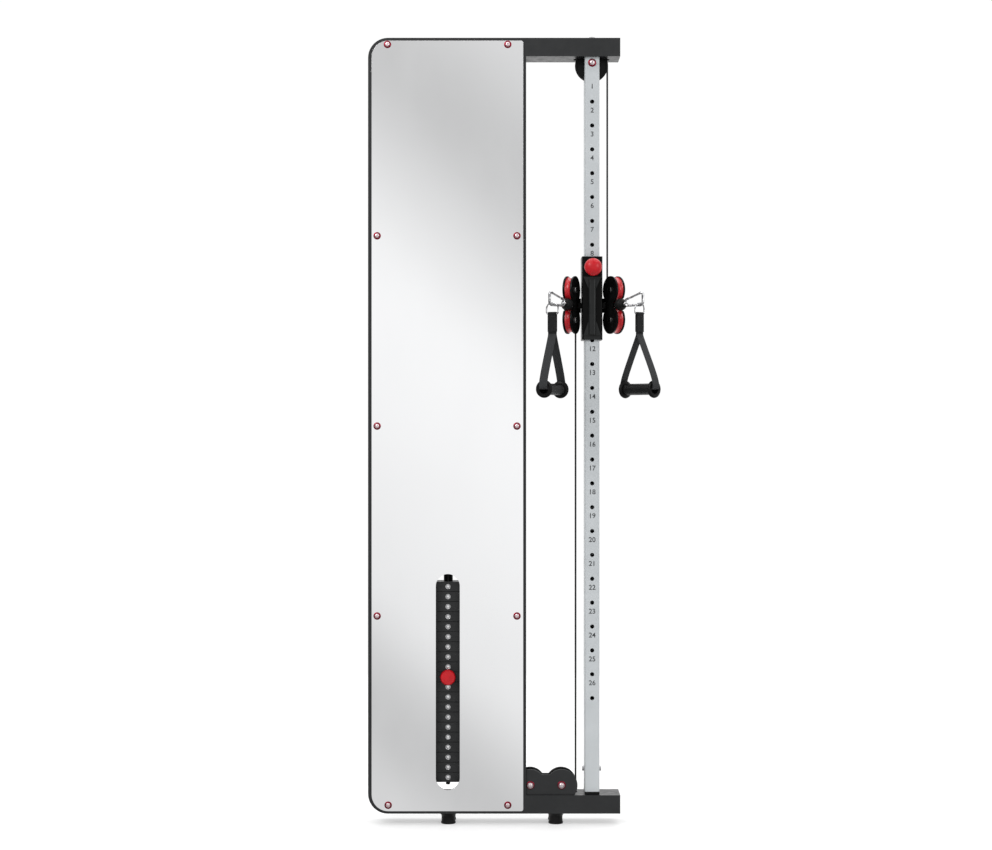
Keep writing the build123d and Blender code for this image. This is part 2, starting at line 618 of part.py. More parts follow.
def handle(side):
    plane = handle_plane(side)
    ring_top = CLIP_R + RING_R + 0.3
    bar = ring_top - 30
    ring_path = FilletPolyline(
        (0, ring_top, 17), (0, bar, 17), (0, bar, -17), (0, ring_top, -17),
        radius=[16, 5, 5, 16], close=True
    )
    ring = sweep(Plane(origin=ring_path @ 0, z_dir=ring_path % 0) * Circle(RING_R), ring_path)
    save(f"d_ring_{side}", plane * ring)

    grip = -GRIP_DROP
    half_t = STRAP_T / 2
    split = bar - 50
    side_x = GRIP_HALF + 9
    shoulder = grip + 27
    outer = make_face(Polyline(
        (-side_x - half_t, grip - half_t), (side_x + half_t, grip - half_t),
        (side_x + half_t, shoulder), (half_t + 1.2, split), (-half_t - 1.2, split),
        (-side_x - half_t, shoulder), close=True
    ))
    inner = make_face(Polyline(
        (half_t - side_x, grip + half_t), (side_x - half_t, grip + half_t),
        (side_x - half_t, shoulder - 1), (0, split - 5), (half_t - side_x, shoulder - 1), close=True
    ))
    strap = extrude(outer - inner, STRAP_W / 2, both=True)
    strap += Pos(0, (split + bar) / 2 - 1, 0) * Box(2 * half_t + 2.4, bar - split + 2, STRAP_W)
    strap += Pos(0, bar, 0) * Cylinder(4.8, STRAP_W)
    strap -= Pos(0, bar, 0) * Cylinder(RING_R + 0.25, STRAP_W + 2)
    save(f"strap_{side}", plane * strap)

    tube = Pos(0, grip, 0) * Rot(0, 90, 0) * (
        Cylinder(15.5, 2 * GRIP_HALF - 8) - Cylinder(13.3, 2 * GRIP_HALF)
    )
    caps = [
        Pos(s * GRIP_HALF, grip, 0) * Rot(0, 90, 0) * (Cylinder(24, 8) - Cylinder(13.3, 10))
        for s in (-1, 1)
    ]
    save(f"grip_{side}", plane * group([tube] + caps))


def report_places():
    """Print the joint points and headings in the object's own frame, in metres."""
    def metres(v):
        return [round(c / 1000, 6) for c in tuple(Vector(v) + SHIFT)]

    for side in ("left", "right"):
        arm = side_plane(side, HEADING[side])
        clip = clip_plane(side)
        grip = handle_plane(side)
        print(side, "swivel", metres(arm.origin), "along", arm.x_dir, "axle", arm.z_dir)
        for s in (1, -1):
            print("  wheel", metres(arm.from_local_coords((WHEEL_OUT, s * WHEEL_RISE, 0))))
        print("  gate hinge", metres(clip.from_local_coords((9, 14.546, 0))), "axis", clip.z_dir)
        print("  ring", metres(grip.origin), "axis", grip.x_dir)
        print("  grip", metres(grip.from_local_coords((0, -GRIP_DROP, 0))))


os.makedirs("parts", exist_ok=True)
frame()
mirror()
red_washers()
guides()
stack()
pulleys()
column()
frame_bolts()
supports()
cables()
carriage()
plunger()
for name in ("left", "right"):
    swivel(name)
    cable_end(name)
    carabiner(name)
    handle(name)
report_places()
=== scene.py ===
import json
from math import cos, pi, radians, sin

import bmesh
import bpy
from mathutils import Matrix, Vector

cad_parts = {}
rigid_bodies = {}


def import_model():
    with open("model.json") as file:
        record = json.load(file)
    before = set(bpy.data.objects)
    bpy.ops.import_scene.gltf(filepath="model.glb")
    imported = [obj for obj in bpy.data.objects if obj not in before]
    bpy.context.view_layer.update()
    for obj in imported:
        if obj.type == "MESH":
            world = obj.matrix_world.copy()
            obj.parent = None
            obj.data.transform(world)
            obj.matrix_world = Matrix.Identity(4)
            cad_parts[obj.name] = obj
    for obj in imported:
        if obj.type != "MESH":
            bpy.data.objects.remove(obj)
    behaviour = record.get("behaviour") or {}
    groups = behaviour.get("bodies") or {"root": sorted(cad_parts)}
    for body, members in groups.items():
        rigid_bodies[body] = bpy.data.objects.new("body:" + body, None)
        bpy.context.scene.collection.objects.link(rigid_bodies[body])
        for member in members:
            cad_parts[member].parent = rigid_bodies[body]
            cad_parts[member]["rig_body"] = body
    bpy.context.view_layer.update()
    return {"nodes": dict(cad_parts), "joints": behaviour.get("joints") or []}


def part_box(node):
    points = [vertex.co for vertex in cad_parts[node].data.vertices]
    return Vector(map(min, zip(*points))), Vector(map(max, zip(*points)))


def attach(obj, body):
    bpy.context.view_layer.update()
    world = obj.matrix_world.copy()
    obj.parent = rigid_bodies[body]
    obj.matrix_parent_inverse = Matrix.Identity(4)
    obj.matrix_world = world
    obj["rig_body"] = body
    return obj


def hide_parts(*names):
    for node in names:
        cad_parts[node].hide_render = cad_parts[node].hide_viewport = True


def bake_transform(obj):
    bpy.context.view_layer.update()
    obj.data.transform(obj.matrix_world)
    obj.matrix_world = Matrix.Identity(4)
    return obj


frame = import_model()
JOINTS = {joint["name"]: joint for joint in frame["joints"]}
UP = Vector((0, 0, 1))
SIDES = ("left", "right")

# Camera, in metres: it looks straight along +Y at the front of the machine
CAMERA_BACK = 5.8
CAMERA_HEIGHT = 1.087
CAMERA_X = -0.053
CAMERA_LENS = 77.4
SENSOR = 36.0

# The studio wall behind the camera: place across its diagonal band and brightness, how the band
# lies in the direction of view, the brightness the wall falls off to, and where it does so. The
# backdrop behind the machine has one brightness
WALL_BAND = [
    (0.00, 0.76), (0.05, 0.72), (0.16, 0.59), (0.24, 0.69), (0.30, 0.81), (0.35, 0.90),
    (0.41, 0.99), (0.56, 0.96), (0.70, 0.89), (0.765, 0.85), (0.82, 0.70), (0.90, 0.58),
    (0.97, 0.70),
]
BAND_ACROSS = -2.0143
BAND_UPWARD = -2.3698
BAND_OFFSET = 0.4662
WALL_EDGE = 0.32
WALL_REACH = 0.6
WALL_FADE = 0.35
BACKDROP = 1.02

# Sizes of what repeats, in metres
CABLE_RADIUS = 0.0025
WASHER_HOLE = 0.0034
WASHER_THICK = 0.0016
COVER_BOLT_LIFT = 0.0046
PLATE_COUNT = 20
RESTING_COUNT = 10
PLATE_THICK = 0.0263
HOLE_COUNT = 26
HOLE_PITCH = 0.065
FIRST_HOLE_Z = 1.968
NUMBER_RISE = 0.041
NUMBER_SIZE = 0.0188
WHEEL_RADIUS = 0.0365
WHEEL_GROOVE = 0.033
WHEEL_HALF = 0.0092
AXLE_REACH = 0.0160
PULLEY_GROOVE_DEPTH = 0.004
BORE_RADIUS = 0.0061
STRAP_HALF_SPAN = 0.063
STRAP_WIDTH = 0.0245
STRAP_THICK = 0.0024
STITCHED_LENGTH = 0.050
GRIP_BORE = 0.0132
GRIP_RADIUS = 0.0155
GRIP_HALF = 0.0496
GRIP_RIBS = 28
CAP_OFFSET = 0.054

# Along the cable's end, from the swivel's pivot, in metres
LEAD_REACH = 0.034
LEAD_RISE = 0.0054
PULL_START = 0.0560
BALL_REACH = 0.0705
BALL_RADIUS = 0.0168
EYE_REACH = 0.0965


# ---------------------------------------------------------------- materials


def new_material(name, color, roughness, metallic=0.0):
    """A material with its principled shader and its node tree, ready for detail."""
    mat = bpy.data.materials.new(name)
    mat.use_nodes = True
    shader = mat.node_tree.nodes["Principled BSDF"]
    shader.inputs["Base Color"].default_value = (*color, 1)
    shader.inputs["Roughness"].default_value = roughness
    shader.inputs["Metallic"].default_value = metallic
    mat.diffuse_color = (*color, 1)
    return mat, shader, mat.node_tree


def add(tree, kind, **values):
    """A node whose named inputs are set."""
    node = tree.nodes.new(kind)
    for key, value in values.items():
        node.inputs[key.replace("_", " ")].default_value = value
    return node


def position(tree):
    """The rest position of the surface, in metres."""
    return tree.nodes.new("ShaderNodeTexCoord").outputs["Object"]


def noise(tree, scale, detail=3.0, roughness=0.55, stretch=None):
    node = add(tree, "ShaderNodeTexNoise", Scale=scale, Detail=detail, Roughness=roughness)
    coordinates = position(tree)
    if stretch:
        mapping = add(tree, "ShaderNodeMapping", Scale=stretch)
        tree.links.new(coordinates, mapping.inputs["Vector"])
        coordinates = mapping.outputs["Vector"]
    tree.links.new(coordinates, node.inputs["Vector"])
    return node.outputs["Fac"]


def spread(tree, value, low, high):
    """Map a 0.3 to 0.7 noise value onto a range."""
    node = add(tree, "ShaderNodeMapRange")
    node.inputs["From Min"].default_value = 0.3
    node.inputs["From Max"].default_value = 0.7
    node.inputs["To Min"].default_value = low
    node.inputs["To Max"].default_value = high
    tree.links.new(value, node.inputs["Value"])
    return node.outputs["Result"]


def vary_roughness(tree, shader, value, low, high):
    tree.links.new(spread(tree, value, low, high), shader.inputs["Roughness"])


def vary_color(tree, shader, value, dark, light):
    node = tree.nodes.new("ShaderNodeMix")
    node.data_type = "RGBA"
    node.inputs["A"].default_value = (*dark, 1)
    node.inputs["B"].default_value = (*light, 1)
    tree.links.new(spread(tree, value, 0, 1), node.inputs["Factor"])
    tree.links.new(node.outputs["Result"], shader.inputs["Base Color"])


def bump(tree, shader, height, strength, distance):
    node = add(tree, "ShaderNodeBump", Strength=strength, Distance=distance)
    tree.links.new(height, node.inputs["Height"])
    tree.links.new(node.outputs["Normal"], shader.inputs["Normal"])


def powder_coat(name, dark, light, rough, grain=1400, strength=0.25, gloss=0.5):
    """Textured powder coat: orange peel, slight mottling and uneven gloss."""
    mat, shader, tree = new_material(name, light, rough)
    shader.inputs["Specular IOR Level"].default_value = gloss
    vary_color(tree, shader, noise(tree, 14, 4), dark, light)
    vary_roughness(tree, shader, noise(tree, 60, 4), rough - 0.06, rough + 0.08)
    bump(tree, shader, noise(tree, grain, 2), strength, 0.0002)
    return mat


def brushed_metal(name, color, rough, stretch=(1, 1, 1), scratch=900):
    """Bright metal with fine scratches and a little tarnish."""
    mat, shader, tree = new_material(name, color, rough, 1.0)
    dull = tuple(c * 0.82 for c in color)
    vary_color(tree, shader, noise(tree, 90, 3), dull, color)
    vary_roughness(tree, shader, noise(tree, scratch, 2, stretch=stretch), rough * 0.6, rough * 1.7)
    bump(tree, shader, noise(tree, scratch, 2, stretch=stretch), 0.08, 0.0001)
    return mat


def moulded(name, dark, light, rough, grain=900, strength=0.2, coat=0.0, gloss=0.5):
    """Moulded plastic or rubber with a spark-eroded grain."""
    mat, shader, tree = new_material(name, light, rough)
    shader.inputs["Specular IOR Level"].default_value = gloss
    shader.inputs["Coat Weight"].default_value = coat
    shader.inputs["Coat Roughness"].default_value = 0.12
    vary_color(tree, shader, noise(tree, 35, 3), dark, light)
    vary_roughness(tree, shader, noise(tree, 120, 3), rough - 0.05, rough + 0.1)
    bump(tree, shader, noise(tree, grain, 2), strength, 0.00015)
    return mat


def tarnished_wire():
    """Bent chrome wire: bright, with darker streaks painted into its colour as painted reflections of
    dark surroundings.
    """
    mat, shader, tree = new_material("bent_wire_chrome", (0.8, 0.8, 0.81), 0.16, 1.0)
    # Painted reflections: dark streaks in the chrome's colour
    vary_color(tree, shader, noise(tree, 170, 2, 0.5), (0.16, 0.16, 0.17), (0.84, 0.84, 0.85))
    vary_roughness(tree, shader, noise(tree, 700, 2), 0.1, 0.26)
    return mat


def mirror_glass():
    """Silvered glass with faint wiping marks in its gloss."""
    mat, shader, tree = new_material("mirror_glass", (0.94, 0.943, 0.95), 0.05, 1.0)
    vary_roughness(tree, shader, noise(tree, 5, 5, 0.6, (1, 1, 0.4)), 0.03, 0.09)
    vary_color(tree, shader, noise(tree, 3, 3), (0.930, 0.934, 0.942), (0.945, 0.949, 0.957))
    return mat


def woven(name, dark, light, across, along):
    """Webbing: warp and weft threads from the strip's own width and length, in metres."""
    mat, shader, tree = new_material(name, light, 0.82)
    shader.inputs["Specular IOR Level"].default_value = 0.2
    shader.inputs["Sheen Weight"].default_value = 0.08
    shader.inputs["Sheen Roughness"].default_value = 0.5
    uv = tree.nodes.new("ShaderNodeUVMap")
    uv.uv_map = "strip"
    split = tree.nodes.new("ShaderNodeSeparateXYZ")
    tree.links.new(uv.outputs["UV"], split.inputs["Vector"])

    def wave(source, pitch):
        scaled = tree.nodes.new("ShaderNodeMath")
        scaled.operation = "MULTIPLY"
        scaled.inputs[1].default_value = 2 * pi / pitch
        tree.links.new(source, scaled.inputs[0])
        node = tree.nodes.new("ShaderNodeMath")
        node.operation = "SINE"
        tree.links.new(scaled.outputs[0], node.inputs[0])
        return node.outputs[0]

    warp = wave(split.outputs["X"], across)
    weft = wave(split.outputs["Y"], along)
    crossed = tree.nodes.new("ShaderNodeMath")
    crossed.operation = "MULTIPLY"
    tree.links.new(warp, crossed.inputs[0])
    tree.links.new(weft, crossed.inputs[1])
    height = tree.nodes.new("ShaderNodeMapRange")
    height.inputs["From Min"].default_value = -1
    tree.links.new(crossed.outputs[0], height.inputs["Value"])
    # The weave's colour follows its height: the hollows between the threads are painted darker, painted
    # shade, and the crowns lighter
    mixed = tree.nodes.new("ShaderNodeMix")
    mixed.data_type = "RGBA"
    mixed.inputs["A"].default_value = (*dark, 1)
    mixed.inputs["B"].default_value = (*light, 1)
    tree.links.new(height.outputs["Result"], mixed.inputs["Factor"])
    tree.links.new(mixed.outputs["Result"], shader.inputs["Base Color"])
    bump(tree, shader, height.outputs["Result"], 0.6, 0.0004)
    return mat


def cable_coat():
    """Nylon-coated wire rope: the strands show as a faint helical ripple under the coat."""
    mat, shader, tree = new_material("cable_coat", (0.006, 0.006, 0.007), 0.3)
    shader.inputs["Specular IOR Level"].default_value = 0.3
    wave = add(tree, "ShaderNodeTexWave", Scale=420, Distortion=0.4, Detail=1)
    wave.bands_direction = "DIAGONAL"
    tree.links.new(position(tree), wave.inputs["Vector"])
    bump(tree, shader, wave.outputs["Fac"], 0.04, 0.0002)
    vary_roughness(tree, shader, noise(tree, 200, 2), 0.28, 0.4)
    return mat


M = {
    "frame": powder_coat("frame_powder", (0.006, 0.007, 0.008), (0.010, 0.011, 0.012), 0.36),
    "cover": powder_coat("cover_powder", (0.008, 0.009, 0.010), (0.012, 0.013, 0.014), 0.4),
    "sleeve": powder_coat("sleeve_powder", (0.002, 0.002, 0.002), (0.004, 0.004, 0.004), 0.3,
                          gloss=0.08),
    # A lighter, glossier copy of the sleeve's black powder: a painted highlight for the lit front of
    # the sleeve's raised centre bar
    "sleeve_painted_highlight": powder_coat("sleeve_powder_painted_highlight", (0.007, 0.008, 0.008), (0.011, 0.012, 0.012), 0.34,
                       gloss=0.28),
    "plates": powder_coat("plate_satin", (0.009, 0.010, 0.011), (0.015, 0.016, 0.017), 0.46, 900),
    "column": powder_coat("column_silver", (0.45, 0.475, 0.49), (0.50, 0.525, 0.54), 0.4, 1600),
    "mirror": mirror_glass(),
    "backing": powder_coat("mirror_backing", (0.05, 0.052, 0.055), (0.07, 0.072, 0.075), 0.55),
    "zinc": brushed_metal("zinc_plate", (0.62, 0.62, 0.63), 0.28),
    "chrome": brushed_metal("chrome_wire", (0.80, 0.80, 0.81), 0.12, (1, 1, 4)),
    "bolt": brushed_metal("bolt_chrome", (0.90, 0.74, 0.76), 0.3),
    "socket": brushed_metal("socket_chrome", (0.93, 0.93, 0.94), 0.1),
    # Chrome for the D-rings and carabiners, with painted dark reflections in its colour
    "wire": tarnished_wire(),
    "rod": brushed_metal("guide_rod_chrome", (0.7, 0.71, 0.72), 0.2, (1, 1, 0.05), 160),
    "red": moulded("red_moulding", (0.42, 0.003, 0.008), (0.52, 0.005, 0.012), 0.4, 700, 0.1, 0.12,
                   0.3),
    "groove": moulded("red_groove", (0.46, 0.008, 0.014), (0.56, 0.014, 0.022), 0.3, 700, 0.1, 0.3,
                      0.4),
    "washer": brushed_metal("red_anodised", (0.26, 0.016, 0.035), 0.35),
    "plastic": moulded("black_moulding", (0.003, 0.003, 0.003), (0.006, 0.006, 0.006), 0.34,
                       gloss=0.16),
    "rubber": moulded("black_rubber", (0.004, 0.004, 0.004), (0.008, 0.008, 0.008), 0.5, 500, 0.4,
                      gloss=0.16),
    "grip": moulded("grip_rubber", (0.003, 0.003, 0.003), (0.006, 0.006, 0.006), 0.32, 420, 0.3,
                    gloss=0.25),
    "webbing": woven("webbing_weave", (0.014, 0.015, 0.016), (0.040, 0.042, 0.044), 0.0026, 0.0022),
    # A darker copy of the same webbing for the doubled top of the strap and its wraps: painted shade
    "dense": woven("webbing_weave_painted_shade", (0.003, 0.003, 0.003), (0.012, 0.013, 0.014), 0.0026, 0.0022),
    "thread": moulded("stitch_thread", (0.02, 0.02, 0.021), (0.035, 0.035, 0.036), 0.7),
    "cable": cable_coat(),
    "ink": moulded("label_ink", (0.035, 0.037, 0.04), (0.045, 0.047, 0.05), 0.6, 900, 0.05),
}


# ---------------------------------------------------------------- mesh helpers


def finish_piece(obj, body, mats, replaced=(), smooth=35):
    """Materials, shading, body and the CAD nodes that a new piece stands for."""
    mats = (mats,) if isinstance(mats, str) else mats
    if obj.data.materials:
        obj.data.materials.clear()
    for name in mats:
        obj.data.materials.append(M[name])
    if smooth:
        obj.data.polygons.foreach_set("use_smooth", [True] * len(obj.data.polygons))
        obj.data.set_sharp_from_angle(angle=radians(smooth))
    if body:
        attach(obj, body)
    if replaced:
        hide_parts(*replaced)
    return obj


def mesh_object(name, vertices, faces, materials=None):
    mesh = bpy.data.meshes.new(name)
    mesh.from_pydata([tuple(v) for v in vertices], [], faces)
    if materials:
        mesh.polygons.foreach_set("material_index", materials)
    mesh.update()
    obj = bpy.data.objects.new(name, mesh)
    bpy.context.scene.collection.objects.link(obj)
    return obj


def across(axis):
    """Two unit vectors square to an axis and to each other."""
    axis = Vector(axis).normalized()
    first = axis.cross(UP if abs(axis.z) < 0.9 else Vector((1, 0, 0))).normalized()
    return first, axis.cross(first).normalized()


def lathe(name, centre, axis, profile, segments=64):
    """A closed turned form; profile is (radius, distance along the axis, material index)."""
    axis = Vector(axis).normalized()
    centre = Vector(centre)
    first, second = across(axis)
    rings, vertices, faces, kinds = [], [], [], []
    for radius, along, _ in profile:
        base = centre + axis * along
        if radius < 1e-7:
            rings.append([len(vertices)] * segments)
            vertices.append(base)
            continue
        rings.append(list(range(len(vertices), len(vertices) + segments)))
        for i in range(segments):
            turn = 2 * pi * i / segments
            vertices.append(base + (first * cos(turn) + second * sin(turn)) * radius)
    closed = profile[0][0] > 1e-7
    pairs = list(zip(range(len(rings)), range(1, len(rings))))
    if closed:
        pairs.append((len(rings) - 1, 0))
    for a, b in pairs:
        for i in range(segments):
            j = (i + 1) % segments
            face = [rings[a][i], rings[a][j], rings[b][j], rings[b][i]]
            face = list(dict.fromkeys(face))
            if len(face) > 2:
                faces.append(face)
                kinds.append(profile[b][2])
    obj = mesh_object(name, vertices, faces, kinds)
    tidy_mesh(obj)
    return obj


def tidy_mesh(obj, merge=1e-6):
    """Merge doubled points and turn every face outwards."""
    bm = bmesh.new()
    bm.from_mesh(obj.data)
    bmesh.ops.remove_doubles(bm, verts=bm.verts, dist=merge)
    bmesh.ops.recalc_face_normals(bm, faces=bm.faces)
    bm.to_mesh(obj.data)
    bm.free()
    return obj


def tube(name, points, radius, sides=20):
    """A round tube whose rings sit at the given points."""
    points = [Vector(p) for p in points]
    first, second = across(points[-1] - points[0])
    vertices, faces = [], []
    for point in points:
        for i in range(sides):
            turn = 2 * pi * i / sides
            vertices.append(point + (first * cos(turn) + second * sin(turn)) * radius)
    for ring in range(len(points) - 1):
        for i in range(sides):
            j = (i + 1) % sides
            a, b = ring * sides, (ring + 1) * sides
            faces.append([a + i, a + j, b + j, b + i])
    faces.append(list(range(sides))[::-1])
    faces.append([len(vertices) - sides + i for i in range(sides)])
    return tidy_mesh(mesh_object(name, vertices, faces))


def line_points(start, end, step):
    """Evenly spaced points along a straight line, about a step apart."""
    start, end = Vector(start), Vector(end)
    count = max(2, int((end - start).length / step))
    return [start.lerp(end, i / count) for i in range(count + 1)]


def bevelled(node, width, mat, segments=2, choose=None):
    """The CAD node's shape with its edges rounded, standing for the node.

    choose gives each face's place in the list of materials, from its centre and normal."""
    source = frame["nodes"][node]
    obj = bpy.data.objects.new(node + "_finished", source.data.copy())
    bpy.context.scene.collection.objects.link(obj)
    bm = bmesh.new()
    bm.from_mesh(obj.data)
    bmesh.ops.remove_doubles(bm, verts=bm.verts, dist=1e-6)
    bmesh.ops.dissolve_limit(
        bm, angle_limit=radians(0.5), verts=bm.verts, edges=bm.edges, delimit={"NORMAL"}
    )
    bm.to_mesh(obj.data)
    bm.free()
    obj.data.polygons.foreach_set("use_smooth", [True] * len(obj.data.polygons))
    modifier = obj.modifiers.new("edges", "BEVEL")
    modifier.width = width
    modifier.segments = segments
    modifier.limit_method = "ANGLE"
    modifier.angle_limit = radians(40)
    modifier.use_clamp_overlap = True
    weighted = obj.modifiers.new("normals", "WEIGHTED_NORMAL")
    weighted.weight = 100
    weighted.keep_sharp = True
    apply_modifiers(obj)
    finish_piece(obj, source["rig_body"], mat, [node], smooth=0)
    if choose:
        for polygon in obj.data.polygons:
            polygon.material_index = choose(polygon.center, polygon.normal)
    return obj


def apply_modifiers(obj):
    """The mesh as its modifiers leave it becomes the piece's own mesh."""
    bpy.context.view_layer.update()
    evaluated = obj.evaluated_get(bpy.context.evaluated_depsgraph_get())
    mesh = bpy.data.meshes.new_from_object(evaluated)
    obj.modifiers.clear()
    old = obj.data
    obj.data = mesh
    bpy.data.meshes.remove(old)


def paint(mat, *nodes):
    """A CAD node that keeps its shape gets its finish."""
    for node in nodes:
        obj = frame["nodes"][node]
        obj.data.materials.clear()
        obj.data.materials.append(M[mat])


# ---------------------------------------------------------------- frame and tower


def build_frame():
    for node in ("top_beam", "bottom_beam", "left_post", "right_post"):
        bevelled(node, 0.0022, "frame")
    bevelled("corner_bends", 0.0015, "frame")
    bevelled("wall_brackets", 0.001, "frame")
    bevelled("rod_crossbar", 0.001, "frame")
    bevelled("pulley_hangers", 0.0008, "frame")
    bevelled("base_pulley_plates", 0.0009, "cover")
    bevelled("end_blocks", 0.0008, "plastic")
    build_feet()
    bevelled("frame_bolts", 0.0006, "zinc")
    bevelled("stack_cushions", 0.002, "rubber")
    paint("rod", "guide_rods")


def build_feet():
    """Rubber levelling feet with a waist, a rounded tread and a flange under the beam."""
    profile = [
        (0, 0, 0), (0.0186, 0, 0), (0.0198, 0.0010, 0), (0.0202, 0.0030, 0), (0.0200, 0.0052, 0),
        (0.0190, 0.0064, 0), (0.0187, 0.0100, 0), (0.0185, 0.0140, 0), (0.0185, 0.0205, 0),
        (0.0193, 0.0232, 0), (0.0212, 0.0258, 0), (0.0226, 0.0276, 0), (0.0229, 0.0300, 0),
        (0, 0.0300, 0),
    ]
    for index, centre in enumerate(solid_centres("levelling_feet")):
        obj = lathe(f"foot_{index + 1}", (centre.x, centre.y, 0), UP, profile, 64)
        finish_piece(obj, "frame", "rubber", ["levelling_feet"] if index == 0 else (), 25)


def build_mirror():
    low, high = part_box("mirror_panel")

    def silvered(centre, normal):
        return 0 if normal.y < -0.7 and centre.y < low.y + 0.0005 else 1

    bevelled("mirror_panel", 0.0006, ["mirror", "backing"], 2, silvered)
    screws = sorted(solid_centres("mirror_screws"), key=lambda c: (c.z, c.x))
    for index, centre in enumerate(screws):
        place = Vector((centre.x, low.y, centre.z))
        button_screw(f"mirror_screw_{index + 1}", place, 0.0062)
        washer(f"mirror_washer_{index + 1}", place, 0.0102)
    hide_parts("mirror_screws")
    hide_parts("red_washers")


def solid_centres(node):
    """The middle of each separate solid in a CAD node."""
    bm = bmesh.new()
    bm.from_mesh(frame["nodes"][node].data)
    bmesh.ops.remove_doubles(bm, verts=bm.verts, dist=1e-6)
    left = set(bm.verts)
    centres = []
    while left:
        stack = [left.pop()]
        found = list(stack)
        while stack:
            for edge in stack.pop().link_edges:
                for vert in edge.verts:
                    if vert in left:
                        left.remove(vert)
                        stack.append(vert)
                        found.append(vert)
        low = Vector([min(v.co[k] for v in found) for k in range(3)])
        high = Vector([max(v.co[k] for v in found) for k in range(3)])
        centres.append((low + high) / 2)
    bm.free()
    return centres


def washer(name, place, radius):
    """A dished red washer whose back lies on the frame's front surface at place."""
    profile = [
        (WASHER_HOLE, -WASHER_THICK, 0), (radius - 0.003, -WASHER_THICK, 0),
        (radius - 0.0008, -0.0011, 0), (radius, -0.0004, 0), (radius, 0, 0), (WASHER_HOLE, 0, 0),
    ]
    return finish_piece(lathe(name, place, (0, 1, 0), profile, 48), "frame", "washer")


def button_screw(name, place, radius, lift=WASHER_THICK):
    """A button head with a hexagon socket, standing its lift in front of place."""
    sides = 36
    first, second = Vector((1, 0, 0)), UP
    place = Vector(place) + Vector((0, -lift, 0))
    socket = radius * 0.42
    rings = []
    for share, height in ((1, 0), (1, 0.10), (0.93, 0.28), (0.8, 0.42), (0.62, 0.52)):
        rings.append([
            place - Vector((0, radius * height, 0)) + radius * share
            * (first * cos(2 * pi * i / sides) + second * sin(2 * pi * i / sides))
            for i in range(sides)
        ])
    for depth in (0.53, 0.12):
        hexagon = []
        for i in range(sides):
            turn = 2 * pi * i / sides
            reach = socket * cos(pi / 6) / cos((turn % (pi / 3)) - pi / 6)
            hexagon.append(place + (first * cos(turn) + second * sin(turn)) * reach
                           - Vector((0, radius * depth, 0)))
        rings.append(hexagon)
    vertices = [v for ring_points in rings for v in ring_points]
    faces = []
    for k in range(len(rings) - 1):
        for i in range(sides):
            j = (i + 1) % sides
            a, b = k * sides, (k + 1) * sides
            faces.append([a + i, a + j, b + j, b + i])
    faces.append(list(range(sides)))
    faces.append([len(vertices) - sides + i for i in range(sides)])
    obj = tidy_mesh(mesh_object(name, vertices, faces))
    return finish_piece(obj, "frame", "bolt", smooth=40)


def red_washered_bolts():
    """The pulley axles' heads: one on the column and two on the base cover."""
    for index, name in enumerate(("top_pulley", "base_pulley_inner", "base_pulley_outer")):
        x, _, z = JOINTS[name + "_spin"]["pos_m"]
        seat = "column_tube" if index == 0 else "base_pulley_plates"
        place = Vector((x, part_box(seat)[0].y, z))
        washer(f"axle_washer_{index + 1}", place, 0.0112)
        button_screw(f"axle_head_{index + 1}", place, 0.0072, COVER_BOLT_LIFT)


# ---------------------------------------------------------------- weight stack


def build_stack():
    bevelled("resting_plates", 0.0012, "plates")
    bevelled("lifted_plates", 0.0012, "plates")
    paint("plastic", "selector_rod")
    bevelled("lift_fork", 0.0008, "frame")
    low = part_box("resting_plates")[0]
    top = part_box("lifted_plates")[1].z
    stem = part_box("selector_rod")
    stem_x = (stem[0].x + stem[1].x) / 2
    pitch = (top - low.z - PLATE_THICK) / (PLATE_COUNT - 1)
    for index in range(PLATE_COUNT):
        body = "frame" if index < RESTING_COUNT else "stack"
        place = Vector((stem_x, low.y, low.z + PLATE_THICK / 2 + index * pitch))
        # The selector pin sits in the lowest of the lifted plates
        pin_hole(PLATE_COUNT - index, place, body, open_hole=index == RESTING_COUNT)
    foot = Vector((stem_x, low.y + 0.007, low.z))
    profile = [(0, 0, 0), (0.0058, 0, 0), (0.0058, 0.0050, 0), (0.0048, 0.0068, 0), (0, 0.0074, 0)]
    finish_piece(lathe("stem_foot", foot, (0, 0, -1), profile, 32), "frame", "plastic")
    build_selector()


def pin_hole(number, place, body, open_hole):
    """The bright bushing in a plate's front, closed by a bright plug unless the pin is in it."""
    bushing = [
        (0.0046, 0.0035, 0), (0.0054, 0.0002, 0), (0.0058, -0.0006, 0), (0.0065, -0.0006, 0),
        (0.0068, 0, 0), (0.0059, 0.0002, 0), (0.0059, 0.012, 0), (0.0046, 0.012, 0),
    ]
    obj = lathe(f"pin_bushing_{number:02d}", place, (0, 1, 0), bushing, 32)
    finish_piece(obj, body, "socket")
    if open_hole:
        return
    plug = [(0, 0.0010, 0), (0.0026, 0.0011, 0), (0.0038, 0.0014, 0), (0.0044, 0.0022, 0),
            (0.0045, 0.0090, 0), (0, 0.0090, 0)]
    obj = lathe(f"pin_socket_{number:02d}", place, (0, 1, 0), plug, 32)
    finish_piece(obj, body, "socket")


